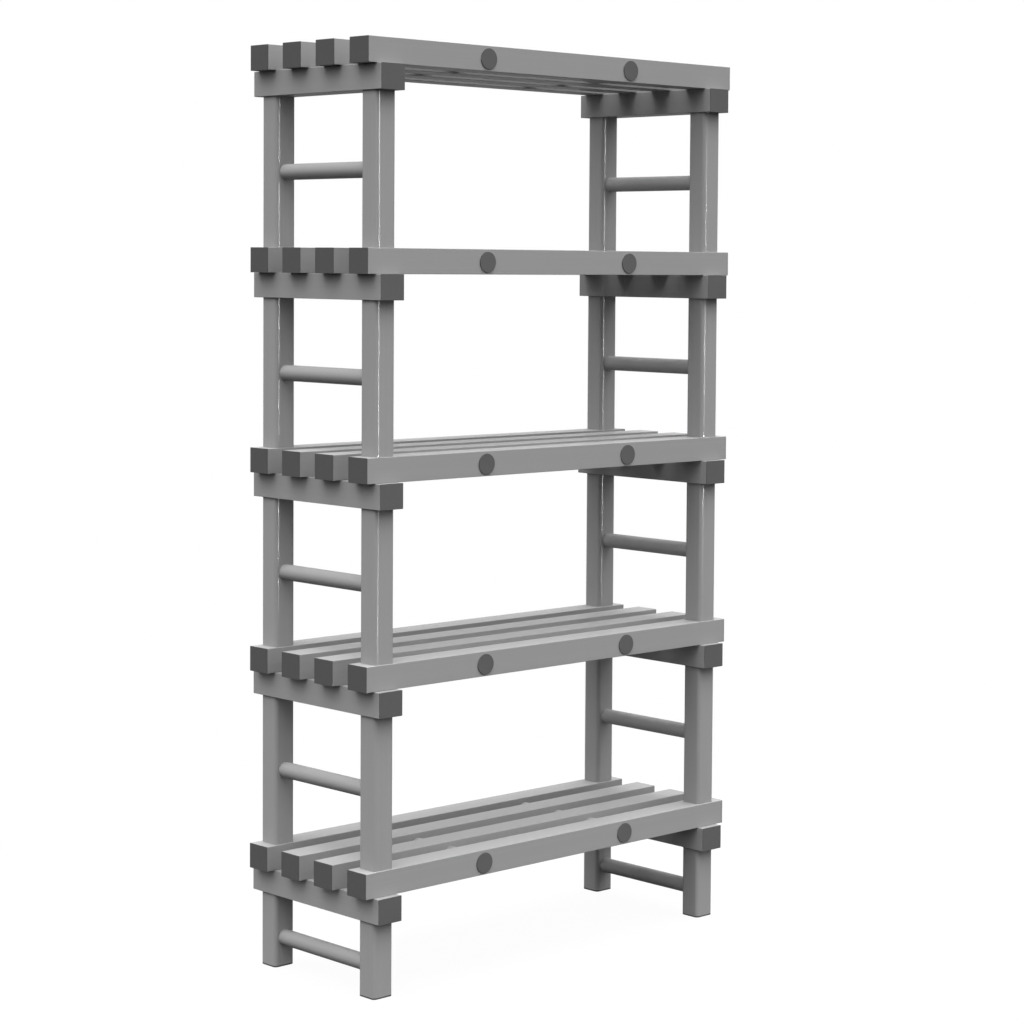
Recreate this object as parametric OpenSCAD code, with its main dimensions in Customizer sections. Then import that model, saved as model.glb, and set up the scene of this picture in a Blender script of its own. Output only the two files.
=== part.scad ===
// Plastic shelving unit: slatted shelves on posts that plug together with inner connectors.
// X runs along the shelves, Y from front to rear, Z up. The origin is on the floor, midway between the legs.

/* [Overall] */
// Length over the slat end caps
unit_length = 1000; // [700:10:1500]
// Depth over the beam end caps
unit_depth = 400; // [360:10:600]
// Rise from one shelf to the next
shelf_rise = 400; // [300:10:600]
// Number of shelves
shelf_count = 5; // [2:1:5]
// Height of the legs under the lowest beams
leg_height = 150; // [140:5:250]

/* [Slats and beams] */
// Width of the slat and beam profile
profile_width = 57; // [54:1:70]
// Height of the slat and beam profile
profile_height = 50; // [46:1:70]
// Wall of the slat and beam profile
profile_wall = 2.5; // [2:0.5:4]
// Radius along the outer edges of the profile
profile_radius = 1; // [0.5:0.1:2]
// Run of the slats past the outer side of the beams
slat_overhang = 20; // [10:1:60]
// Run of the beams past the front and rear slats
beam_overhang = 15; // [10:1:30]

/* [Posts] */
// Width of the square post profile
post_width = 48; // [44:1:52]
// Wall of the post profile
post_wall = 3; // [2:0.5:4]
// Radius along the outer edges of the post
post_radius = 8; // [5:0.5:10]
// Reach of the inner connectors into each post
connector_reach = 60; // [40:1:64]
// Wall of the inner connectors
connector_wall = 3; // [2:0.5:4]

/* [Round tubes] */
// Outer diameter of the rungs and tie tubes
tube_diameter = 32; // [24:1:34]
// Wall of the rungs and tie tubes
tube_wall = 2.4; // [1.8:0.2:3]
// Height of the lowest rungs above the floor
low_rung_height = 59; // [50:1:64]
// Distance between the two tie tubes of a shelf
tie_spacing = 394; // [200:2:500]
// Height of the tie tubes above the underside of the slats
tie_height = 24.25; // [23:0.25:25]

/* [Caps and feet] */
// Thickness of the flanges at the ends of slats and beams
cap_flange = 1; // [0.8:0.2:3]
// Depth of the cap plugs inside the tubes
cap_plug_depth = 15; // [8:1:16]
// Wall of the cap and foot plugs
cap_plug_wall = 2; // [1.5:0.5:3]
// Diameter of the round caps on the tie tubes
tie_cap_diameter = 41.5; // [38:0.5:42]
// Thickness of the round caps' flanges
tie_cap_flange = 2; // [1:0.5:4]
// Thickness of the foot flanges
foot_flange = 3; // [1:0.5:4]
// Height of the foot plugs inside the legs
foot_plug_height = 20; // [10:1:24]

/* [Hidden] */
// Clearance on each side of a plug in its tube
plug_gap = 0.15;
// Clearance round a tube in its hole
hole_gap = 0.15;
// Clearance at the end of a piece that stops inside a closed profile
end_gap = 0.3;
// Smallest radius inside a plug
least_radius = 0.5;
// Cuts run this far past the faces that they open
cut = 1;
// Sides of the circles that round corners, tubes and round caps are drawn with
corner_sides = 48;
tube_sides = 64;
cap_sides = 96;

SLAT_ROWS = ["front", "mid_front", "mid_rear", "rear"];
SIDES = ["left", "right"];
CORNERS = ["front_left", "front_right", "rear_left", "rear_right"];
LEVELS = [1 : shelf_count];
BAYS = [1 : shelf_count - 1];

tube_grey = "#919191";
cap_grey = "#5a5a5a";

// Slats fill the depth between the beam overhangs, at an even pitch
slat_span = unit_depth - 2 * beam_overhang;
slat_pitch = (slat_span - profile_width) / (len(SLAT_ROWS) - 1);
slat_length = unit_length - 2 * cap_flange;
beam_length = unit_depth - 2 * cap_flange;
beam_x = unit_length / 2 - slat_overhang - profile_width / 2;
// Posts stand on the middle of the front and rear slats
post_y = slat_span / 2 - profile_width / 2;
post_length = shelf_rise - 2 * profile_height;
post_bore = post_width - 2 * post_wall;
post_bore_radius = post_radius - post_wall;
connector_width = post_bore - 2 * plug_gap;
connector_radius = post_bore_radius - plug_gap;
rung_length = 2 * (post_y + post_bore / 2 - end_gap);
foot_plug_width = post_bore - 2 * plug_gap;
foot_plug_bore = foot_plug_width - 2 * cap_plug_wall;
foot_plug_bore_radius = max(connector_radius - cap_plug_wall, least_radius);
tube_bore = tube_diameter - 2 * tube_wall;
tube_hole = tube_diameter + 2 * hole_gap;
plug_length = profile_width - 2 * profile_wall - 2 * plug_gap;
plug_height = profile_height - 2 * profile_wall - 2 * plug_gap;

function slat_name(level, row) = str("shelf", level, "_slat_", row);
function beam_name(level, side) = str("shelf", level, "_beam_", side);
function leg_name(corner) = str("leg_", corner);
function post_name(bay, corner) = str("bay", bay, "_post_", corner);

// Underside of the slats of a shelf, which is the top of its beams
function shelf_z(level) = leg_height + profile_height + (level - 1) * shelf_rise;
function slat_y(row) = (row - (len(SLAT_ROWS) - 1) / 2) * slat_pitch;
function side_sign(side) = side == "left" ? -1 : 1;
function corner_x(corner) = (corner == "front_left" || corner == "rear_left" ? -1 : 1) * beam_x;
function corner_y(corner) = (corner == "front_left" || corner == "front_right" ? -1 : 1) * post_y;
// Rungs sit at mid-height in a bay, and low down between the legs
function rung_z(level) = level == 1 ? low_rung_height : shelf_z(level) - profile_height - post_length / 2;

// Flat outlines
module rounded_rectangle(width, height, radius) {
    square([width - 2 * radius, height], center = true);
    square([width, height - 2 * radius], center = true);
    for (x = [-1, 1], y = [-1, 1])
        translate([x * (width / 2 - radius), y * (height / 2 - radius)])
            circle(r = radius, $fn = corner_sides);
}

module profile_outline() {
    rounded_rectangle(profile_width, profile_height, profile_radius);
}

module profile_section() {
    difference() {
        profile_outline();
        square([profile_width - 2 * profile_wall, profile_height - 2 * profile_wall], center = true);
    }
}

module post_section() {
    difference() {
        rounded_rectangle(post_width, post_width, post_radius);
        rounded_rectangle(post_bore, post_bore, post_bore_radius);
    }
}

module plug_ring(width, height, wall) {
    difference() {
        square([width, height], center = true);
        square([width - 2 * wall, height - 2 * wall], center = true);
    }
}

// Turns a section drawn flat so that it runs along X or Y, with its width level and its height upright
module along_x(length) {
    rotate([90, 0, 90])
        linear_extrude(length, center = true)
            children();
}

module along_y(length) {
    rotate([90, 0, 0])
        linear_extrude(length, center = true)
            children();
}

// Opening for a post connector, through the walls of a profile that is centred on the origin
module connector_hole(top_open) {
    bottom = -profile_height / 2 - cut;
    top = top_open ? profile_height / 2 + cut : 0;
    translate([0, 0, bottom])
        linear_extrude(top - bottom)
            rounded_rectangle(post_bore, post_bore, post_bore_radius);
}

module tie_hole() {
    rotate([90, 0, 0])
        cylinder(d = tube_hole, h = profile_width + 2 * cut, center = true, $fn = tube_sides);
}

// Shelves
module slat(level, row) {
    has_posts = row == 0 || row == len(SLAT_ROWS) - 1;
    color(tube_grey)
        translate([0, slat_y(row), shelf_z(level) + profile_height / 2])
            difference() {
                along_x(slat_length)
                    profile_section();
                for (side = [-1, 1])
                    translate([side * tie_spacing / 2, 0, tie_height - profile_height / 2])
                        tie_hole();
                if (has_posts)
                    for (side = [-1, 1])
                        translate([side * beam_x, 0, 0])
                            connector_hole(level < shelf_count);
            }
}

module beam(level, side) {
    color(tube_grey)
        translate([side_sign(side) * beam_x, 0, shelf_z(level) - profile_height / 2])
            difference() {
                along_y(beam_length)
                    profile_section();
                for (end = [-1, 1])
                    translate([0, end * post_y, 0])
                        connector_hole(true);
            }
}

module round_tube(length) {
    rotate([90, 0, 0])
        difference() {
            cylinder(d = tube_diameter, h = length, center = true, $fn = tube_sides);
            cylinder(d = tube_bore, h = length + 2 * cut, center = true, $fn = tube_sides);
        }
}

module tie_tubes() {
    color(tube_grey)
        for (level = LEVELS, side = [-1, 1])
            translate([side * tie_spacing / 2, 0, shelf_z(level) + tie_height])
                round_tube(slat_span);
}

// Posts, legs and what joins them
module upright(corner, bottom, top, rung_height) {
    inward = -sign(corner_y(corner));
    color(tube_grey)
        difference() {
            translate([corner_x(corner), corner_y(corner), bottom])
                linear_extrude(top - bottom)
                    post_section();
            translate([corner_x(corner), corner_y(corner) + inward * post_width / 2, rung_height])
                rotate([90, 0, 0])
                    cylinder(d = tube_hole, h = post_width, center = true, $fn = tube_sides);
        }
}

module leg(corner) {
    upright(corner, foot_flange, leg_height, low_rung_height);
}

module post(bay, corner) {
    bottom = shelf_z(bay) + profile_height;
    upright(corner, bottom, bottom + post_length, rung_z(bay + 1));
}

module rungs(side) {
    color(tube_grey)
        for (level = LEVELS)
            translate([side_sign(side) * beam_x, 0, rung_z(level)])
                round_tube(rung_length);
}

module post_connectors() {
    color(cap_grey)
        for (level = LEVELS, corner = CORNERS) {
            bottom = shelf_z(level) - profile_height - connector_reach;
            slat_top = shelf_z(level) + profile_height;
            top = level < shelf_count ? slat_top + connector_reach : slat_top - profile_wall - end_gap;
            translate([corner_x(corner), corner_y(corner), bottom])
                linear_extrude(top - bottom)
                    difference() {
                        rounded_rectangle(connector_width, connector_width, connector_radius);
                        square(connector_width - 2 * connector_wall, center = true);
                    }
        }
}

// Caps: each is a flange as large as the tube's end, with a hollow plug behind it.
// The flange lies on the origin and the plug runs from it along -Z
module profile_cap() {
    linear_extrude(cap_flange)
        profile_outline();
    translate([0, 0, -cap_plug_depth])
        linear_extrude(cap_plug_depth)
            plug_ring(plug_length, plug_height, cap_plug_wall);
}

module round_cap() {
    plug_diameter = tube_bore - 2 * plug_gap;
    cylinder(d = tie_cap_diameter, h = tie_cap_flange, $fn = cap_sides);
    translate([0, 0, -cap_plug_depth])
        difference() {
            cylinder(d = plug_diameter, h = cap_plug_depth, $fn = tube_sides);
            translate([0, 0, -cut])
                cylinder(d = plug_diameter - 2 * cap_plug_wall, h = cap_plug_depth + cut, $fn = tube_sides);
        }
}

module slat_caps(side) {
    color(cap_grey)
        for (level = LEVELS, row = [0 : len(SLAT_ROWS) - 1])
            translate([side_sign(side) * slat_length / 2, slat_y(row), shelf_z(level) + profile_height / 2])
                rotate([90, 0, side_sign(side) * 90])
                    profile_cap();
}

// front is -1 for the front ends and 1 for the rear ends
module beam_caps(front) {
    color(cap_grey)
        for (level = LEVELS, side = [-1, 1])
            translate([side * beam_x, front * beam_length / 2, shelf_z(level) - profile_height / 2])
                rotate([-front * 90, 0, 0])
                    profile_cap();
}

module tie_tube_caps() {
    color(cap_grey)
        for (level = LEVELS, side = [-1, 1], front = [-1, 1])
            translate([side * tie_spacing / 2, front * slat_span / 2, shelf_z(level) + tie_height])
                rotate([-front * 90, 0, 0])
                    round_cap();
}

module foot_plugs() {
    color(cap_grey)
        for (corner = CORNERS)
            translate([corner_x(corner), corner_y(corner), 0]) {
                linear_extrude(foot_flange)
                    rounded_rectangle(post_width, post_width, post_radius);
                translate([0, 0, foot_flange])
                    linear_extrude(foot_plug_height)
                        difference() {
                            rounded_rectangle(foot_plug_width, foot_plug_width, connector_radius);
                            rounded_rectangle(foot_plug_bore, foot_plug_bore, foot_plug_bore_radius);
                        }
            }
}

for (level = LEVELS, row = [0 : len(SLAT_ROWS) - 1])
    slat(level, row);
for (level = LEVELS, side = SIDES)
    beam(level, side);
for (corner = CORNERS)
    leg(corner);
for (bay = BAYS, corner = CORNERS)
    post(bay, corner);
rungs("left");  // rungs_left
rungs("right");  // rungs_right
tie_tubes();
post_connectors();
slat_caps("left");  // slat_caps_left
slat_caps("right");  // slat_caps_right
beam_caps(-1);  // beam_caps_front
beam_caps(1);  // beam_caps_rear
tie_tube_caps();
foot_plugs();
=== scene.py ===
"""Looks of a grey plastic shelving unit: slats, beams, posts and rungs of extruded tube, with dark caps.

Metres throughout. X runs along the shelves, Y from front to rear, Z up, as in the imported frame."""

import math

import bmesh
import bpy
from mathutils import Euler, Matrix, Vector


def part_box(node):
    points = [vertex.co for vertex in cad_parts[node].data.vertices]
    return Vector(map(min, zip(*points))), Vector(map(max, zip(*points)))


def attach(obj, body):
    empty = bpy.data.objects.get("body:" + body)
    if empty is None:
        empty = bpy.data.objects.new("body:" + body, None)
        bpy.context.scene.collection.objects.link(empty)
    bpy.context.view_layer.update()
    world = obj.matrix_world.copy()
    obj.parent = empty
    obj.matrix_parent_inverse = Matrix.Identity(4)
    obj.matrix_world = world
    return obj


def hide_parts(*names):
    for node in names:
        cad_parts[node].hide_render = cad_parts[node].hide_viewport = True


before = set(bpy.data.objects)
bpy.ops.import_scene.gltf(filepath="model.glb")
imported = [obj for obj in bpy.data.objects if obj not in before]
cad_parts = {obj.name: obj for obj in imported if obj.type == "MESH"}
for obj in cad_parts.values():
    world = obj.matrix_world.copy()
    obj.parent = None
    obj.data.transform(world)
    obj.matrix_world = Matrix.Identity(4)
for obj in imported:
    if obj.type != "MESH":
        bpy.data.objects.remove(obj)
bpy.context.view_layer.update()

MM = 0.001
ROWS = ["front", "mid_front", "mid_rear", "rear"]
SIDES = ["left", "right"]
CORNERS = ["front_left", "front_right", "rear_left", "rear_right"]
SHELVES = range(1, 6)
BAYS = range(1, 5)

# Walls and edge radii, which the nodes' boxes don't give
PROFILE_WALL = 2.5 * MM
PROFILE_RADIUS = 1 * MM
POST_WALL = 3 * MM
POST_RADIUS = 8 * MM
ROUND_WALL = 2.4 * MM
CAP_PLUG_WALL = 2 * MM
PLUG_GAP = 0.15 * MM
SAW_CUT_EDGE = 0.15 * MM
CAP_EDGE = 0.3 * MM
FOOT_EDGE = 0.4 * MM
CAP_SEAM = 0.12 * MM
ROUND_CAP_SEAM = 0.9 * MM
LEAST_RADIUS = 0.1 * MM
MERGE_DISTANCE = 0.01 * MM

# Steps in a quarter turn: of a post's corners, a slat's or beam's corners, a round tube and a cap's edge
CORNER_STEPS = 6
PROFILE_STEPS = 3
ROUND_STEPS = 18
EDGE_STEPS = 3


# Sizes and places that come from the frame
def node_size(node):
    low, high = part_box(node)
    return high - low


def node_centre(node):
    low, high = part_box(node)
    return (low + high) / 2


slat = node_size("shelf1_slat_front")
beam = node_size("shelf1_beam_left")
post = node_size("bay1_post_front_left")
leg = node_size("leg_front_left")
corner_place = node_centre("leg_front_left")
first_slat = node_centre("shelf1_slat_front")
slat_pitch = node_centre("shelf1_slat_mid_front").y - first_slat.y
shelf_pitch = node_centre("shelf2_slat_front").z - first_slat.z
beam_place = node_centre("shelf1_beam_left")
rung_low, rung_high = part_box("rungs_left")
tie_low, tie_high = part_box("tie_tubes")
tie_cap_low, tie_cap_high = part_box("tie_tube_caps")
slat_cap_low, slat_cap_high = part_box("slat_caps_left")
foot_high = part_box("foot_plugs")[1]
tube_diameter = rung_high.x - rung_low.x
rung_length = rung_high.y - rung_low.y
tie_length = tie_high.y - tie_low.y
tie_cap_diameter = tie_cap_high.z - tie_cap_low.z - (len(SHELVES) - 1) * shelf_pitch
cap_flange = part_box("shelf1_slat_front")[0].x - slat_cap_low.x
tie_cap_flange = tie_low.y - tie_cap_low.y
cap_plug_depth = slat_cap_high.x - slat_cap_low.x - cap_flange
foot_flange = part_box("leg_front_left")[0].z
foot_plug_height = foot_high.z - foot_flange


# Meshes: every tube and cap is a stack of rings, each the outline drawn in by some inset
def ring(width, height, radius, inset, level, steps):
    radius = max(radius - inset, LEAST_RADIUS)
    points = []
    for corner, (side, front) in enumerate([(1, 1), (-1, 1), (-1, -1), (1, -1)]):
        x = side * (width / 2 - inset - radius)
        y = front * (height / 2 - inset - radius)
        for step in range(steps + 1):
            angle = math.pi / 2 * (corner + step / steps)
            points.append((x + radius * math.cos(angle), y + radius * math.sin(angle), level))
    return points


def rounded_edge(radius, level, steps=EDGE_STEPS):
    """Insets and levels of an outer edge, rounded from its side up to its face at that level."""
    turns = [math.pi / 2 * step / steps for step in range(steps + 1)]
    return [(radius * (1 - math.cos(turn)), level - radius * (1 - math.sin(turn))) for turn in turns]


def stacked_mesh(name, width, height, radius, rings, hollow, steps=CORNER_STEPS, turn=(0, 0, 0),
                 corner_lands=False):
    """A closed mesh. A hollow one joins its last ring to its first, a solid one closes each end with a face.

    With corner_lands, the first and last step of each rounded corner stay flat, beside the faces."""
    bm = bmesh.new()
    loops = []
    for inset, level in rings:
        points = ring(width, height, radius, inset, level, steps)
        loops.append([bm.verts.new(point) for point in points])
    pairs = list(zip(loops, loops[1:]))
    if hollow:
        pairs.append((loops[-1], loops[0]))
    else:
        bm.faces.new(loops[0])
        bm.faces.new(loops[-1])
    for lower, upper in pairs:
        for i in range(len(lower)):
            j = (i + 1) % len(lower)
            side = bm.faces.new((lower[i], lower[j], upper[j], upper[i]))
            if corner_lands and i % (steps + 1) in (0, 1, steps - 1, steps):
                edge_along_tube = side.edges[3]
                edge_along_tube.smooth = False
    bmesh.ops.remove_doubles(bm, verts=bm.verts, dist=MERGE_DISTANCE)
    bmesh.ops.recalc_face_normals(bm, faces=bm.faces)
    rotation = Euler([math.radians(angle) for angle in turn]).to_matrix()
    bmesh.ops.rotate(bm, verts=bm.verts, matrix=rotation)
    mesh = bpy.data.meshes.new(name)
    bm.to_mesh(mesh)
    bm.free()
    return mesh


def tube_mesh(name, width, height, radius, wall, length, turn=(0, 0, 0), steps=CORNER_STEPS,
              corner_lands=False):
    """A hollow tube centred on the origin, with a small chamfer where the saw cut its ends."""
    half = length / 2
    edge = SAW_CUT_EDGE
    rings = [(edge, -half), (0, edge - half), (0, half - edge), (edge, half)]
    rings += [(wall - edge, half), (wall, half - edge), (wall, edge - half), (wall - edge, -half)]
    return stacked_mesh(name, width, height, radius, rings, True, steps, turn, corner_lands)


def cap_mesh(name, width, height, radius, flange, plug_inset, plug_depth, edge, turn, steps=CORNER_STEPS,
             seam=CAP_SEAM):
    """A flange with a hollow plug behind it. The flange's back is at the origin and faces the plug, in -Z.

    The seam is the chamfer round the flange's back, which leaves a dark line where cap and tube meet."""
    hollow_inset = plug_inset + CAP_PLUG_WALL
    rings = list(reversed(rounded_edge(edge, flange)))
    rings += [(0, seam), (seam, 0), (plug_inset, 0), (plug_inset, -plug_depth)]
    rings += [(hollow_inset, -plug_depth), (hollow_inset, 0)]
    return stacked_mesh(name, width, height, radius, rings, False, steps, turn)


# Geometry Nodes: repeats the piece it is given on a grid, and gives each copy its own shift for the finish
LARGEST_SHIFT = 9
SHARP_ABOVE = math.radians(31)


def link(tree, *pairs):
    for source, target in pairs:
        tree.links.new(source, target)


def feed(tree, value, socket):
    """Sets a socket to a plain number or colour, or else links it to the output that makes its value."""
    if isinstance(value, (int, float, tuple)):
        socket.default_value = value
    else:
        tree.links.new(value, socket)


def maths(tree, operation, first, second):
    node = tree.nodes.new("ShaderNodeMath")
    node.operation = operation
    feed(tree, first, node.inputs[0])
    feed(tree, second, node.inputs[1])
    return node.outputs[0]


def repeat_tree():
    tree = bpy.data.node_groups.new("Repeat on a grid", "GeometryNodeTree")
    tree.interface.new_socket("Geometry", in_out="OUTPUT", socket_type="NodeSocketGeometry")
    tree.interface.new_socket("Geometry", in_out="INPUT", socket_type="NodeSocketGeometry")
    for name in ("Count X", "Count Y", "Count Z", "Seed"):
        tree.interface.new_socket(name, in_out="INPUT", socket_type="NodeSocketInt")
    for name in ("Start", "Pitch"):
        tree.interface.new_socket(name, in_out="INPUT", socket_type="NodeSocketVector")
    for name in ("Lowest raised by", "Rear row turned by"):
        tree.interface.new_socket(name, in_out="INPUT", socket_type="NodeSocketFloat")
    tree.interface.new_socket("Material", in_out="INPUT", socket_type="NodeSocketMaterial")
    nodes = tree.nodes
    given = nodes.new("NodeGroupInput").outputs
    index = nodes.new("GeometryNodeInputIndex").outputs[0]
    column = maths(tree, "MODULO", index, given["Count X"])
    beyond = maths(tree, "FLOOR", maths(tree, "DIVIDE", index, given["Count X"]), 0)
    row = maths(tree, "MODULO", beyond, given["Count Y"])
    level = maths(tree, "FLOOR", maths(tree, "DIVIDE", beyond, given["Count Y"]), 0)
    place = nodes.new("ShaderNodeCombineXYZ")
    link(tree, (column, place.inputs[0]), (row, place.inputs[1]), (level, place.inputs[2]))
    step = nodes.new("ShaderNodeVectorMath")
    step.operation = "MULTIPLY_ADD"
    link(tree, (place.outputs[0], step.inputs[0]), (given["Pitch"], step.inputs[1]),
         (given["Start"], step.inputs[2]))
    raised = nodes.new("ShaderNodeCombineXYZ")
    is_lowest = maths(tree, "LESS_THAN", level, 0.5)
    link(tree, (maths(tree, "MULTIPLY", is_lowest, given["Lowest raised by"]), raised.inputs[2]))
    final = nodes.new("ShaderNodeVectorMath")
    link(tree, (step.outputs[0], final.inputs[0]), (raised.outputs[0], final.inputs[1]))

    points = nodes.new("GeometryNodePoints")
    in_a_level = maths(tree, "MULTIPLY", given["Count X"], given["Count Y"])
    count = maths(tree, "MULTIPLY", in_a_level, given["Count Z"])
    link(tree, (count, points.inputs["Count"]), (final.outputs[0], points.inputs["Position"]))
    shift = nodes.new("FunctionNodeRandomValue")
    shift.data_type = "FLOAT_VECTOR"
    shift.inputs[0].default_value = (0, 0, 0)
    shift.inputs[1].default_value = (LARGEST_SHIFT, LARGEST_SHIFT, LARGEST_SHIFT)
    link(tree, (given["Seed"], shift.inputs["Seed"]))
    store = nodes.new("GeometryNodeStoreNamedAttribute")
    store.data_type = "FLOAT_VECTOR"
    store.domain = "POINT"
    store.inputs["Name"].default_value = "piece_shift"
    link(tree, (points.outputs[0], store.inputs["Geometry"]), (shift.outputs[0], store.inputs["Value"]))

    turn = nodes.new("ShaderNodeCombineXYZ")
    link(tree, (maths(tree, "MULTIPLY", row, given["Rear row turned by"]), turn.inputs[2]))
    copies = nodes.new("GeometryNodeInstanceOnPoints")
    link(tree, (store.outputs[0], copies.inputs["Points"]), (given["Geometry"], copies.inputs["Instance"]),
         (turn.outputs[0], copies.inputs["Rotation"]))
    real = nodes.new("GeometryNodeRealizeInstances")
    smooth = nodes.new("GeometryNodeSetShadeSmooth")
    smooth.domain = "FACE"
    angle = nodes.new("GeometryNodeInputMeshEdgeAngle")
    sharp = nodes.new("GeometryNodeSetShadeSmooth")
    sharp.domain = "EDGE"
    sharp.inputs["Shade Smooth"].default_value = False
    painted = nodes.new("GeometryNodeSetMaterial")
    shown = nodes.new("NodeGroupOutput")
    link(tree, (copies.outputs[0], real.inputs[0]), (real.outputs[0], smooth.inputs["Geometry"]),
         (smooth.outputs[0], sharp.inputs["Geometry"]),
         (maths(tree, "GREATER_THAN", angle.outputs[0], SHARP_ABOVE), sharp.inputs["Selection"]),
         (sharp.outputs[0], painted.inputs["Geometry"]), (given["Material"], painted.inputs["Material"]),
         (painted.outputs[0], shown.inputs[0]))
    return tree


def repeated(name, mesh, material, replaced, start, counts=(1, 1, 1), pitch=(0, 0, 0),
             lowest_raised=0.0, rear_turned=0.0):
    """Repeats a mesh on a grid, makes it one plain mesh and lets that stand for the nodes it replaces."""
    source = bpy.data.objects.new(name + "_source", mesh)
    bpy.context.scene.collection.objects.link(source)
    modifier = source.modifiers.new("Repeat", "NODES")
    modifier.node_group = REPEAT
    values = {"Count X": counts[0], "Count Y": counts[1], "Count Z": counts[2], "Seed": sum(name.encode()),
              "Start": Vector(start), "Pitch": Vector(pitch), "Lowest raised by": lowest_raised,
              "Rear row turned by": rear_turned, "Material": material}
    for item in REPEAT.interface.items_tree:
        if item.item_type == "SOCKET" and item.in_out == "INPUT" and item.name in values:
            modifier[item.identifier] = values[item.name]
    flat_faces = source.modifiers.new("Flat faces", "WEIGHTED_NORMAL")
    flat_faces.keep_sharp = True
    shown = bpy.context.evaluated_depsgraph_get()
    made = bpy.data.meshes.new_from_object(source.evaluated_get(shown))
    made.name = name
    piece = bpy.data.objects.new(name, made)
    bpy.context.scene.collection.objects.link(piece)
    bpy.data.objects.remove(source)
    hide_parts(*replaced)
    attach(piece, "root")
    return piece


# Shader node groups
def shader_group(name, inputs, outputs):
    group = bpy.data.node_groups.new(name, "ShaderNodeTree")
    for label, kind, value in inputs:
        socket = group.interface.new_socket(label, in_out="INPUT", socket_type=kind)
        if value is not None:
            socket.default_value = value
    for label, kind in outputs:
        group.interface.new_socket(label, in_out="OUTPUT", socket_type=kind)
    return group, group.nodes.new("NodeGroupInput").outputs, group.nodes.new("NodeGroupOutput").inputs


def noise(tree, vector, scale, detail=2.0, roughness=0.5):
    node = tree.nodes.new("ShaderNodeTexNoise")
    node.inputs["Detail"].default_value = detail
    node.inputs["Roughness"].default_value = roughness
    feed(tree, vector, node.inputs["Vector"])
    feed(tree, scale, node.inputs["Scale"])
    return node.outputs[0]


def share_between(tree, value, low, high):
    """0 up to low, then rising to 1 at high and beyond."""
    node = tree.nodes.new("ShaderNodeMapRange")
    feed(tree, value, node.inputs["Value"])
    feed(tree, low, node.inputs["From Min"])
    feed(tree, high, node.inputs["From Max"])
    return node.outputs[0]


def scaled_colour(tree, colour, factor):
    node = tree.nodes.new("ShaderNodeVectorMath")
    node.operation = "SCALE"
    feed(tree, colour, node.inputs[0])
    feed(tree, factor, node.inputs["Scale"])
    return node.outputs[0]


NOISE_MIDDLE = 0.5
FINE_TONE = 0.4
BROAD_TONE = 0.6
BROAD_HEIGHT = 1.5
LINE_RANGE = (0.3, 0.7)


def die_lines_group():
    """Fine lines and slow bands that a die leaves along a tube. Its vector is squeezed along the tube."""
    group, given, put = shader_group(
        "Die lines",
        [("Vector", "NodeSocketVector", None), ("Fine lines", "NodeSocketFloat", 900.0),
         ("Broad bands", "NodeSocketFloat", 130.0), ("Tone", "NodeSocketFloat", 0.03)],
        [("Tone", "NodeSocketFloat"), ("Lines", "NodeSocketFloat"), ("Height", "NodeSocketFloat")])
    fine = noise(group, given["Vector"], given["Fine lines"], detail=2.0, roughness=0.6)
    broad = noise(group, given["Vector"], given["Broad bands"], detail=1.0)
    mixed = maths(group, "ADD", maths(group, "MULTIPLY", fine, FINE_TONE),
                  maths(group, "MULTIPLY", broad, BROAD_TONE))
    centred = maths(group, "SUBTRACT", mixed, NOISE_MIDDLE)
    link(group, (maths(group, "ADD", maths(group, "MULTIPLY", centred, given["Tone"]), 1.0), put["Tone"]),
         (share_between(group, fine, *LINE_RANGE), put["Lines"]),
         (maths(group, "ADD", fine, maths(group, "MULTIPLY", broad, BROAD_HEIGHT)), put["Height"]))
    return group


MARK_ANGLE = math.radians(23)
MARK_SQUEEZE = (0.12, 4.0, 4.0)
PATCH_RANGE = (0.35, 0.65)
MARK_RANGE = (0.68, 0.76)


def handling_group():
    """Sparse rub marks and dull patches from goods and hands."""
    group, given, put = shader_group(
        "Handling marks",
        [("Vector", "NodeSocketVector", None), ("Patch size", "NodeSocketFloat", 9.0),
         ("Mark length", "NodeSocketFloat", 55.0)],
        [("Patches", "NodeSocketFloat"), ("Marks", "NodeSocketFloat")])
    patches = noise(group, given["Vector"], given["Patch size"], detail=3.0)
    squeeze = group.nodes.new("ShaderNodeMapping")
    squeeze.inputs["Rotation"].default_value = (0.0, 0.0, MARK_ANGLE)
    squeeze.inputs["Scale"].default_value = MARK_SQUEEZE
    link(group, (given["Vector"], squeeze.inputs["Vector"]))
    marks = noise(group, squeeze.outputs[0], given["Mark length"], detail=2.0, roughness=0.7)
    link(group, (share_between(group, patches, *PATCH_RANGE), put["Patches"]),
         (share_between(group, marks, *MARK_RANGE), put["Marks"]))
    return group


EDGE_REACH = 1.2 * MM
EDGE_SAMPLES = 4


def painted_edge_highlight_group():
    """1 where an edge is close, from how far a softened normal turns away from the true one. The materials
    use it to paint a highlight along every edge.
    """
    group, given, put = shader_group("Painted edge highlight", [("Softness", "NodeSocketFloat", 0.4)],
                                     [("Edge", "NodeSocketFloat")])
    soft = group.nodes.new("ShaderNodeBevel")
    soft.samples = EDGE_SAMPLES
    soft.inputs["Radius"].default_value = EDGE_REACH
    true_normal = group.nodes.new("ShaderNodeNewGeometry").outputs["Normal"]
    dot = group.nodes.new("ShaderNodeVectorMath")
    dot.operation = "DOT_PRODUCT"
    link(group, (soft.outputs[0], dot.inputs[0]), (true_normal, dot.inputs[1]))
    turned = maths(group, "SUBTRACT", 1.0, dot.outputs["Value"])
    link(group, (share_between(group, turned, 0.0, given["Softness"]), put["Edge"]))
    return group


FLOW_HEIGHT = 0.4


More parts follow.
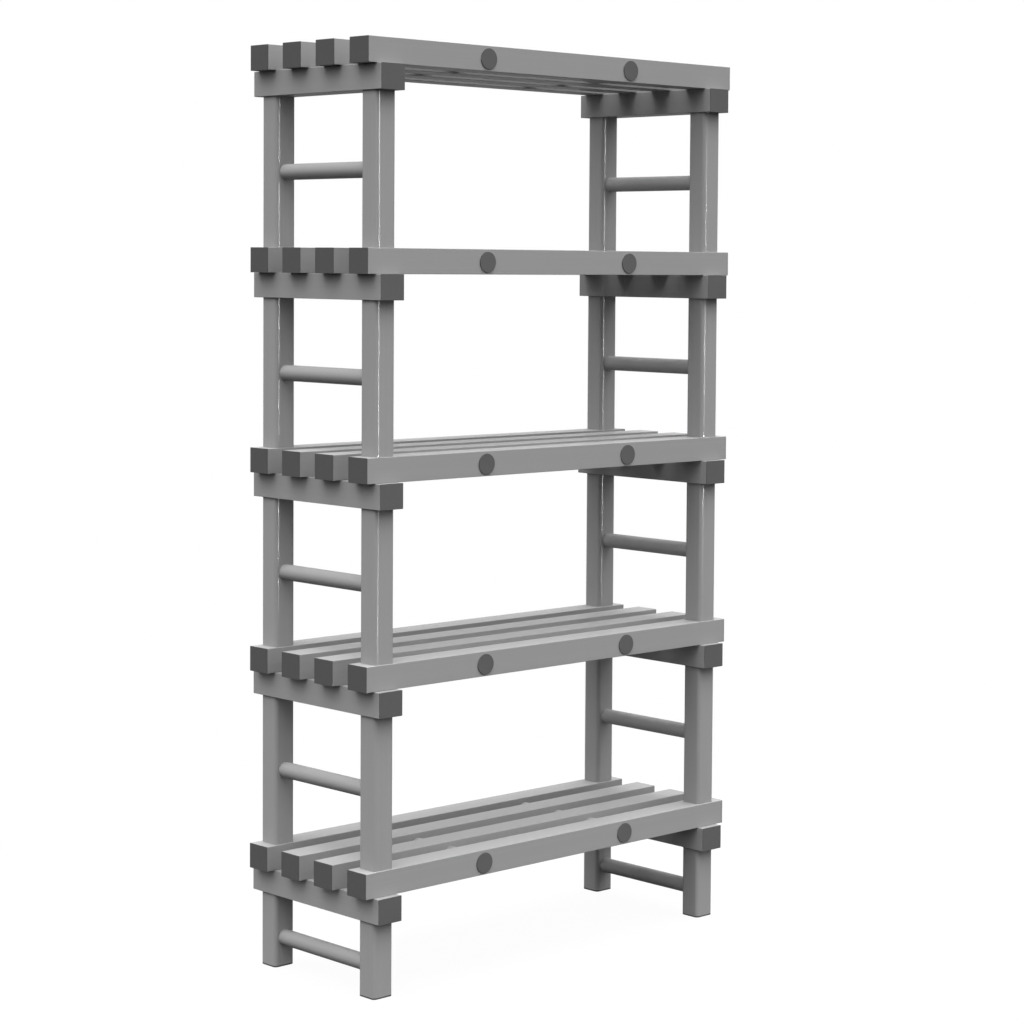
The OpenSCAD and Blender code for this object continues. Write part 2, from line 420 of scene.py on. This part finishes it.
def grain_group():
    """Fine spark-eroded grain and slow flow marks of a moulded cap."""
    group, given, put = shader_group(
        "Moulded grain",
        [("Vector", "NodeSocketVector", None), ("Grain", "NodeSocketFloat", 1500.0),
         ("Flow", "NodeSocketFloat", 60.0), ("Tone", "NodeSocketFloat", 0.06)],
        [("Tone", "NodeSocketFloat"), ("Grain", "NodeSocketFloat"), ("Height", "NodeSocketFloat")])
    grain = noise(group, given["Vector"], given["Grain"], detail=2.0)
    flow = noise(group, given["Vector"], given["Flow"], detail=3.0)
    centred = maths(group, "SUBTRACT", flow, NOISE_MIDDLE)
    link(group, (maths(group, "ADD", maths(group, "MULTIPLY", centred, given["Tone"]), 1.0), put["Tone"]),
         (grain, put["Grain"]),
         (maths(group, "ADD", grain, maths(group, "MULTIPLY", flow, FLOW_HEIGHT)), put["Height"]))
    return group


# Materials: how the grey tubes look
TUBE_COLOUR = (0.250, 0.250, 0.250)
TUBE_TONE = 0.10
TUBE_ROUGHNESS = 0.5
TUBE_IOR = 1.05
# How much paler the tubes' edges are painted: a painted highlight along them
EDGE_HIGHLIGHT_PALER = 0.05
MARKS_PALER = 0.03
LINES_ROUGHER = 0.06
LINE_DEPTH = 0.004 * MM
LINE_STRENGTH = 0.35

# The glossy skin on them, and how much of it is gone in dull patches and rub marks
TUBE_SKIN = 0.05
SKIN_ROUGHNESS = 0.07
SKIN_IOR = 1.5
GONE_IN_PATCHES = 0.2
GONE_IN_MARKS = 0.4

# How the dark caps look
CAP_COLOUR = (0.072, 0.072, 0.072)
CAP_ROUGHNESS = 0.55
CAP_IOR = 1.15
# How much paler the caps' edges are painted: a painted highlight along them
CAP_EDGE_HIGHLIGHT_PALER = 0.04
GRAIN_ROUGHER = 0.12
PATCHES_ROUGHER = 0.05
GRAIN_DEPTH = 0.02 * MM
GRAIN_STRENGTH = 0.4


def grouped(tree, group, vector=None, **values):
    node = tree.nodes.new("ShaderNodeGroup")
    node.node_tree = group
    if vector is not None:
        tree.links.new(vector, node.inputs["Vector"])
    for label, value in values.items():
        node.inputs[label.replace("_", " ")].default_value = value
    return node.outputs


def new_material(name):
    material = bpy.data.materials.new(name)
    material.use_nodes = True
    tree = material.node_tree
    tree.nodes.clear()
    shader = tree.nodes.new("ShaderNodeBsdfPrincipled")
    shown = tree.nodes.new("ShaderNodeOutputMaterial")
    tree.links.new(shader.outputs[0], shown.inputs["Surface"])
    return material, tree, shader.inputs


def piece_vector(tree):
    """Object coordinates, moved by each copy's own shift so that no two copies show the same pattern."""
    place = tree.nodes.new("ShaderNodeTexCoord").outputs["Object"]
    shift = tree.nodes.new("ShaderNodeAttribute")
    shift.attribute_name = "piece_shift"
    total = tree.nodes.new("ShaderNodeVectorMath")
    link(tree, (place, total.inputs[0]), (shift.outputs["Vector"], total.inputs[1]))
    return total.outputs[0]


def bumped(tree, height, distance, strength):
    bump = tree.nodes.new("ShaderNodeBump")
    bump.inputs["Distance"].default_value = distance
    bump.inputs["Strength"].default_value = strength
    tree.links.new(height, bump.inputs["Height"])
    return bump.outputs[0]


def tube_plastic(name, squeeze):
    """Extruded grey plastic with die lines along the tube: squeeze is small along the tube and 1 across it.

    A dull body lies under the thin glossy skin that the die leaves, which handling wears away in places. Its
    edges are painted paler, a painted highlight."""
    material, tree, shader = new_material(name)
    vector = piece_vector(tree)
    along = tree.nodes.new("ShaderNodeMapping")
    along.inputs["Scale"].default_value = squeeze
    tree.links.new(vector, along.inputs["Vector"])
    lines = grouped(tree, DIE_LINES, along.outputs[0], Tone=TUBE_TONE)
    marks = grouped(tree, HANDLING, vector)
    edge = grouped(tree, PAINTED_EDGE_HIGHLIGHT)["Edge"]
    # Paler colour from two sources: a painted highlight along the edges, and rub marks worn paler by
    # handling
    highlight_and_rub = maths(tree, "ADD", maths(tree, "MULTIPLY", edge, EDGE_HIGHLIGHT_PALER),
                   maths(tree, "MULTIPLY", marks["Marks"], MARKS_PALER))
    tone = maths(tree, "ADD", lines["Tone"], highlight_and_rub)
    dulled = maths(tree, "ADD", maths(tree, "MULTIPLY", lines["Lines"], LINES_ROUGHER), TUBE_ROUGHNESS)
    skin_lost = maths(tree, "ADD", maths(tree, "MULTIPLY", marks["Patches"], GONE_IN_PATCHES),
                      maths(tree, "MULTIPLY", marks["Marks"], GONE_IN_MARKS))
    skin_left = maths(tree, "MULTIPLY", maths(tree, "SUBTRACT", 1.0, skin_lost), TUBE_SKIN)
    link(tree, (scaled_colour(tree, TUBE_COLOUR, tone), shader["Base Color"]), (dulled, shader["Roughness"]),
         (skin_left, shader["Coat Weight"]),
         (bumped(tree, lines["Height"], LINE_DEPTH, LINE_STRENGTH), shader["Normal"]))
    shader["IOR"].default_value = TUBE_IOR
    shader["Coat Roughness"].default_value = SKIN_ROUGHNESS
    shader["Coat IOR"].default_value = SKIN_IOR
    return material


def cap_plastic(name):
    """Moulded dark plastic with a fine grain, and its edges painted paler as a painted highlight."""
    material, tree, shader = new_material(name)
    vector = piece_vector(tree)
    grain = grouped(tree, GRAIN, vector)
    marks = grouped(tree, HANDLING, vector)
    edge = grouped(tree, PAINTED_EDGE_HIGHLIGHT)["Edge"]
    # The edges are painted paler here: a painted highlight
    tone = maths(tree, "ADD", grain["Tone"], maths(tree, "MULTIPLY", edge, CAP_EDGE_HIGHLIGHT_PALER))
    grained = maths(tree, "ADD", maths(tree, "MULTIPLY", grain["Grain"], GRAIN_ROUGHER), CAP_ROUGHNESS)
    patched = maths(tree, "MULTIPLY", marks["Patches"], PATCHES_ROUGHER)
    link(tree, (scaled_colour(tree, CAP_COLOUR, tone), shader["Base Color"]),
         (maths(tree, "ADD", grained, patched), shader["Roughness"]),
         (bumped(tree, grain["Height"], GRAIN_DEPTH, GRAIN_STRENGTH), shader["Normal"]))
    shader["IOR"].default_value = CAP_IOR
    return material


SQUEEZED = 0.004
DIE_LINES = die_lines_group()
HANDLING = handling_group()
PAINTED_EDGE_HIGHLIGHT = painted_edge_highlight_group()
GRAIN = grain_group()
REPEAT = repeat_tree()
slat_plastic = tube_plastic("grey_plastic_slats", (SQUEEZED, 1, 1))
beam_plastic = tube_plastic("grey_plastic_beams", (1, SQUEEZED, 1))
post_plastic = tube_plastic("grey_plastic_posts", (1, 1, SQUEEZED))
dark_caps = cap_plastic("dark_caps")

# Slats, beams, posts and legs
ALONG_X = (90, 0, 90)
ALONG_Y = (90, 0, 0)
slat_tube = tube_mesh("slat", slat.y, slat.z, PROFILE_RADIUS, PROFILE_WALL, slat.x, ALONG_X, PROFILE_STEPS)
beam_tube = tube_mesh("beam", beam.x, beam.z, PROFILE_RADIUS, PROFILE_WALL, beam.y, ALONG_Y, PROFILE_STEPS)
post_tube = tube_mesh("post", post.x, post.y, POST_RADIUS, POST_WALL, post.z, corner_lands=True)
leg_tube = tube_mesh("leg", leg.x, leg.y, POST_RADIUS, POST_WALL, leg.z, corner_lands=True)
corner_pitch = (-2 * corner_place.x, -2 * corner_place.y, 0)
for shelf in SHELVES:
    repeated(f"shelf{shelf}_slats", slat_tube, slat_plastic,
             [f"shelf{shelf}_slat_{row}" for row in ROWS],
             node_centre(f"shelf{shelf}_slat_front"), (1, len(ROWS), 1), (0, slat_pitch, 0))
    repeated(f"shelf{shelf}_beams", beam_tube, beam_plastic,
             [f"shelf{shelf}_beam_{side}" for side in SIDES],
             node_centre(f"shelf{shelf}_beam_left"), (2, 1, 1), (-2 * beam_place.x, 0, 0))
for bay in BAYS:
    repeated(f"bay{bay}_posts", post_tube, post_plastic,
             [f"bay{bay}_post_{corner}" for corner in CORNERS],
             node_centre(f"bay{bay}_post_front_left"), (2, 2, 1), corner_pitch)
repeated("legs", leg_tube, post_plastic, [f"leg_{corner}" for corner in CORNERS], corner_place,
         (2, 2, 1), corner_pitch)

# Rungs, one in the middle of each bay and a low one between the legs, and tie tubes through the slats
rung_tube = tube_mesh("rung", tube_diameter, tube_diameter, tube_diameter / 2, ROUND_WALL, rung_length,
                      ALONG_Y, ROUND_STEPS)
tie_tube = tube_mesh("tie_tube", tube_diameter, tube_diameter, tube_diameter / 2, ROUND_WALL, tie_length,
                     ALONG_Y, ROUND_STEPS)
top_rung = rung_high.z - tube_diameter / 2
regular_low_rung = top_rung - (len(SHELVES) - 1) * shelf_pitch
low_rung = rung_low.z + tube_diameter / 2
for side in SIDES:
    middle = node_centre(f"rungs_{side}")
    repeated(f"rungs_{side}", rung_tube, beam_plastic, [f"rungs_{side}"],
             (middle.x, middle.y, regular_low_rung), (1, 1, len(SHELVES)), (0, 0, shelf_pitch),
             low_rung - regular_low_rung)
tie_x = tie_low.x + tube_diameter / 2
tie_z = tie_low.z + tube_diameter / 2
repeated("tie_tubes", tie_tube, beam_plastic, ["tie_tubes"], (tie_x, 0, tie_z),
         (2, 1, len(SHELVES)), (-2 * tie_x, 0, shelf_pitch))

# Caps on slats and beams: on a cap mesh the flange faces up until it is turned outwards
plug_inset = PROFILE_WALL + PLUG_GAP
for side, sign in zip(SIDES, (-1, 1)):
    cap = cap_mesh("slat_cap", slat.y, slat.z, PROFILE_RADIUS, cap_flange, plug_inset, cap_plug_depth,
                   CAP_EDGE, (90, 0, 90 * sign), PROFILE_STEPS)
    repeated(f"slat_caps_{side}", cap, dark_caps, [f"slat_caps_{side}"],
             (sign * slat.x / 2, first_slat.y, first_slat.z), (1, len(ROWS), len(SHELVES)),
             (0, slat_pitch, shelf_pitch))
for end, sign in (("front", -1), ("rear", 1)):
    cap = cap_mesh("beam_cap", beam.x, beam.z, PROFILE_RADIUS, cap_flange, plug_inset, cap_plug_depth,
                   CAP_EDGE, (-90 * sign, 0, 0), PROFILE_STEPS)
    repeated(f"beam_caps_{end}", cap, dark_caps, [f"beam_caps_{end}"],
             (beam_place.x, sign * beam.y / 2, beam_place.z), (2, 1, len(SHELVES)),
             (-2 * beam_place.x, 0, shelf_pitch))

# Round caps over the ends of the tie tubes, and feet in the ends of the legs
tie_bore_inset = (tie_cap_diameter - tube_diameter) / 2 + ROUND_WALL + PLUG_GAP
tie_cap = cap_mesh("tie_cap", tie_cap_diameter, tie_cap_diameter, tie_cap_diameter / 2, tie_cap_flange,
                   tie_bore_inset, cap_plug_depth, CAP_EDGE, (90, 0, 0), ROUND_STEPS, ROUND_CAP_SEAM)
repeated("tie_tube_caps", tie_cap, dark_caps, ["tie_tube_caps"], (tie_x, -tie_length / 2, tie_z),
         (2, 2, len(SHELVES)), (-2 * tie_x, tie_length, shelf_pitch), 0.0, math.pi)
foot = cap_mesh("foot", leg.x, leg.y, POST_RADIUS, foot_flange, POST_WALL + PLUG_GAP, foot_plug_height,
                FOOT_EDGE, (180, 0, 0))
repeated("feet", foot, dark_caps, ["foot_plugs"], (corner_place.x, corner_place.y, foot_flange),
         (2, 2, 1), corner_pitch)

# The inner connectors keep their solids, and are hidden in the tubes
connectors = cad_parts["post_connectors"]
connectors.data.materials.clear()
connectors.data.materials.append(dark_caps)


# Stage
def looked_at(tree):
    """1 where the background is looked at, by the camera, in a reflection or through glass."""
    path = tree.nodes.new("ShaderNodeLightPath").outputs
    seen = maths(tree, "MAXIMUM", path["Is Camera Ray"], path["Is Glossy Ray"])
    return maths(tree, "MAXIMUM", seen, path["Is Transmission Ray"])


def floor_material(name, white, bounce):
    """A pale floor: white where it is looked at, with the object's faint shadow on it."""
    material = bpy.data.materials.new(name)
    material.use_nodes = True
    tree = material.node_tree
    tree.nodes.clear()
    dull = tree.nodes.new("ShaderNodeBsdfDiffuse")
    dull.inputs[0].default_value = (bounce, bounce, bounce, 1)
    glow = tree.nodes.new("ShaderNodeEmission")
    glow.inputs["Color"].default_value = (1, 1, 1, 1)
    tree.links.new(maths(tree, "MULTIPLY", looked_at(tree), white), glow.inputs["Strength"])
    both = tree.nodes.new("ShaderNodeAddShader")
    shown = tree.nodes.new("ShaderNodeOutputMaterial")
    link(tree, (dull.outputs[0], both.inputs[0]), (glow.outputs[0], both.inputs[1]),
         (both.outputs[0], shown.inputs["Surface"]))
    return material


FLOOR_HALF = 1.4
FLOOR_WHITE = 0.957
FLOOR_BOUNCE = 0.02
floor_corners = [(x * FLOOR_HALF, y * FLOOR_HALF, 0) for x, y in ((-1, -1), (1, -1), (1, 1), (-1, 1))]
floor_mesh = bpy.data.meshes.new("floor")
floor_mesh.from_pydata(floor_corners, [], [(0, 1, 2, 3)])
floor_mesh.materials.append(floor_material("pale_floor", FLOOR_WHITE, FLOOR_BOUNCE))
floor = bpy.data.objects.new("floor", floor_mesh)
bpy.context.scene.collection.objects.link(floor)

# The studio's light: strong from above, a little stronger in front, even round the horizon, none from below
HORIZON_LIGHT = 0.58
LIGHT_FROM_ABOVE = 4.55
LIGHT_FROM_OVERHEAD = 3.2
LIGHT_FROM_FRONT = 0.31
BROAD = 2.0
NARROW = 5.0


def lobe(tree, value, power, strength):
    """Light that falls off from one side: the higher the power, the faster."""
    return maths(tree, "MULTIPLY", maths(tree, "POWER", value, power), strength)


world = bpy.data.worlds.new("studio")
bpy.context.scene.world = world
world.use_nodes = True
sky = world.node_tree
sky.nodes.clear()
outward = sky.nodes.new("ShaderNodeTexCoord").outputs["Generated"]
direction = sky.nodes.new("ShaderNodeSeparateXYZ")
sky.links.new(outward, direction.inputs[0])
height = maths(sky, "MAXIMUM", direction.outputs["Z"], 0.0)
frontness = maths(sky, "MAXIMUM", maths(sky, "MULTIPLY", direction.outputs["Y"], -1.0), 0.0)
from_above = maths(sky, "ADD", lobe(sky, height, BROAD, LIGHT_FROM_ABOVE),
                   lobe(sky, height, NARROW, LIGHT_FROM_OVERHEAD))
all_round = maths(sky, "ADD", lobe(sky, frontness, BROAD, LIGHT_FROM_FRONT), HORIZON_LIGHT)
above_horizon = maths(sky, "GREATER_THAN", direction.outputs["Z"], 0.0)
dull_light = maths(sky, "MULTIPLY", maths(sky, "ADD", from_above, all_round), above_horizon)

level = sky.nodes.new("ShaderNodeMix")
link(sky, (looked_at(sky), level.inputs["Factor"]), (dull_light, level.inputs["A"]))
level.inputs["B"].default_value = 1.0
background = sky.nodes.new("ShaderNodeBackground")
background.inputs["Color"].default_value = (1, 1, 1, 1)
link(sky, (level.outputs["Result"], background.inputs["Strength"]),
     (background.outputs[0], sky.nodes.new("ShaderNodeOutputWorld").inputs["Surface"]))

# A far lamp to the right in front, seen in gloss alone: it draws the bright line along the posts' corners
SCREEN_AZIMUTH = math.radians(26.2)
SCREEN_ELEVATION = math.radians(-2.0)
SCREEN_ANGLE = math.radians(14)
SCREEN_LIGHT = 8.0
screen_light = bpy.data.lights.new("corner_screen", "SUN")
screen_light.angle = SCREEN_ANGLE
screen_light.energy = SCREEN_LIGHT
screen = bpy.data.objects.new("corner_screen", screen_light)
to_screen = Vector((math.sin(SCREEN_AZIMUTH) * math.cos(SCREEN_ELEVATION),
                    -math.cos(SCREEN_AZIMUTH) * math.cos(SCREEN_ELEVATION), math.sin(SCREEN_ELEVATION)))
screen.rotation_euler = to_screen.to_track_quat("Z", "Y").to_euler()
screen.visible_camera = False
screen.visible_diffuse = False
bpy.context.scene.collection.objects.link(screen)

# Camera, fitted to the photograph's straight edges
CAMERA_PLACE = Vector((-3.5471, -3.9523, 1.4258))
CAMERA_YAW = math.radians(45.198)
CAMERA_PITCH = math.radians(-2.883)
CAMERA_ROLL = math.radians(0.506)
FOCAL_PIXELS = 2541.85
CENTRE_PIXEL = (644.499, 390.871)
FRAME_PIXELS = 1024
SENSOR = 36.0
CLIP_END = 200
forward = Vector((math.sin(CAMERA_YAW) * math.cos(CAMERA_PITCH),
                  math.cos(CAMERA_YAW) * math.cos(CAMERA_PITCH), math.sin(CAMERA_PITCH)))
level_right = forward.cross(Vector((0, 0, 1))).normalized()
level_up = level_right.cross(forward)
right = math.cos(CAMERA_ROLL) * level_right + math.sin(CAMERA_ROLL) * level_up
up = math.cos(CAMERA_ROLL) * level_up - math.sin(CAMERA_ROLL) * level_right
camera_data = bpy.data.cameras.new("camera")
camera_data.sensor_width = SENSOR
camera_data.lens = FOCAL_PIXELS / FRAME_PIXELS * SENSOR
camera_data.shift_x = (FRAME_PIXELS / 2 - CENTRE_PIXEL[0]) / FRAME_PIXELS
camera_data.shift_y = (CENTRE_PIXEL[1] - FRAME_PIXELS / 2) / FRAME_PIXELS
camera_data.clip_end = CLIP_END
camera = bpy.data.objects.new("camera", camera_data)
bpy.context.scene.collection.objects.link(camera)
camera.matrix_world = Matrix.Translation(CAMERA_PLACE) @ Matrix((right, up, -forward)).transposed().to_4x4()
bpy.context.scene.camera = camera
bpy.context.scene.view_settings.view_transform = "Standard"
